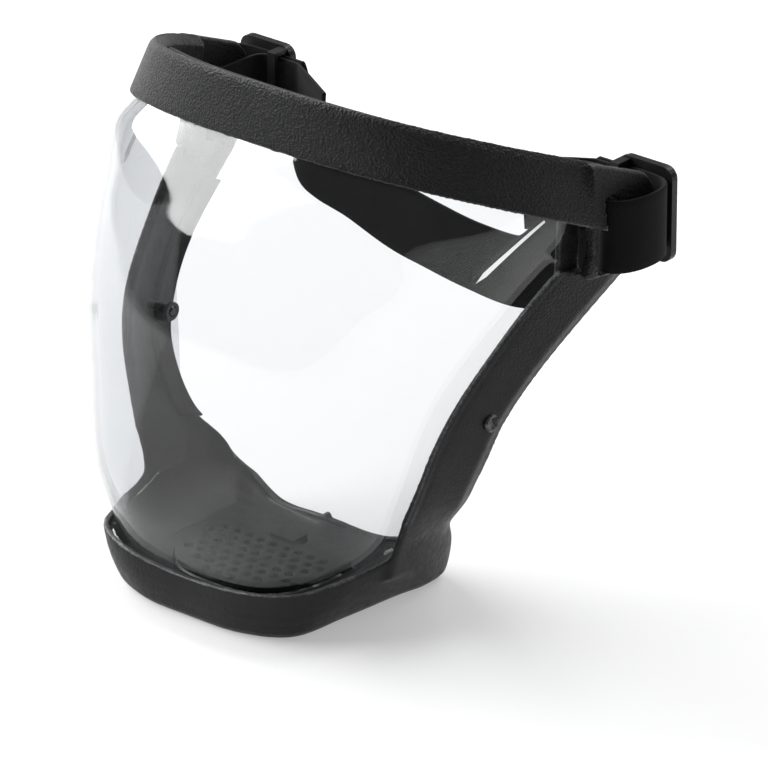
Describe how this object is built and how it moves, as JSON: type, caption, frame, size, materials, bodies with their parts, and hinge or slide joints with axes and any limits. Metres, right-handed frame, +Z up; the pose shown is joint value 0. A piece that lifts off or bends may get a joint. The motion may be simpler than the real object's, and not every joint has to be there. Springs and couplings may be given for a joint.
{
  "type": "face shield",
  "caption": "Wrap-round clear visor in a black moulded frame with brow band, chin cup, vented filter chamber and an adjustable elastic head strap.",
  "frame": {"origin": "on the floor under the rear of the chin cup, on the plane of symmetry", "axes": "+Z up, +X to the side seen at the right when looking along +Y, the wearer looks along -Y"},
  "size_m": [0.1892, 0.1382, 0.1743],
  "materials": {
    "frame_plastic": "moulded, fine leather grain, satin",
    "visor_clear": "clear polycarbonate, polished",
    "pad_foam": "soft matte foam",
    "seal_rubber": "soft matte",
    "grille_plastic": "moulded satin",
    "filter_felt": "white felt",
    "webbing": "woven elastic",
    "buckle_plastic": "moulded satin",
    "rivet_metal": "black oxide",
    "washer_nylon": "plain"
  },
  "bodies": {
    "frame": {"brow_band": "frame_plastic", "brow_pad": "pad_foam", "visor_lens": "visor_clear", "side_arm_left": "frame_plastic", "side_arm_right": "frame_plastic", "temple_left": "frame_plastic", "temple_right": "frame_plastic", "face_seal_left": "seal_rubber", "face_seal_right": "seal_rubber", "chin_cup": "frame_plastic", "filter_pad": "filter_felt", "lens_rivet_left": "rivet_metal", "lens_rivet_right": "rivet_metal", "rivet_washer_left": "washer_nylon", "rivet_washer_right": "washer_nylon", "strap_loop_left": "webbing", "strap_loop_right": "webbing"},
    "strap": {"rear_strap": "webbing", "strap_tail_left": "webbing", "strap_tail_right": "webbing"},
    "grille": {"vent_grille": "grille_plastic"},
    "buckle_left": {"slide_buckle_left": "buckle_plastic"},
    "buckle_right": {"slide_buckle_right": "buckle_plastic"}
  },
  "joints": [
    {"name": "strap_swing", "type": "hinge", "parent": "frame", "child": "strap", "pos_m": [0, 0.061, 0.1224], "axis": [1, 0, 0], "range_deg": [0, 100]},
    {"name": "grille_tilt", "type": "hinge", "parent": "frame", "child": "grille", "pos_m": [0, -0.057, 0.01], "axis": [1, 0, 0], "range_deg": [0, 75]},
    {"name": "buckle_slide_left", "type": "slide", "parent": "frame", "child": "buckle_left", "axis": [1, 0, 0], "range_m": [0, 0.006]},
    {"name": "buckle_slide_right", "type": "slide", "parent": "frame", "child": "buckle_right", "axis": [-1, 0, 0], "range_m": [0, 0.006]}
  ]
}
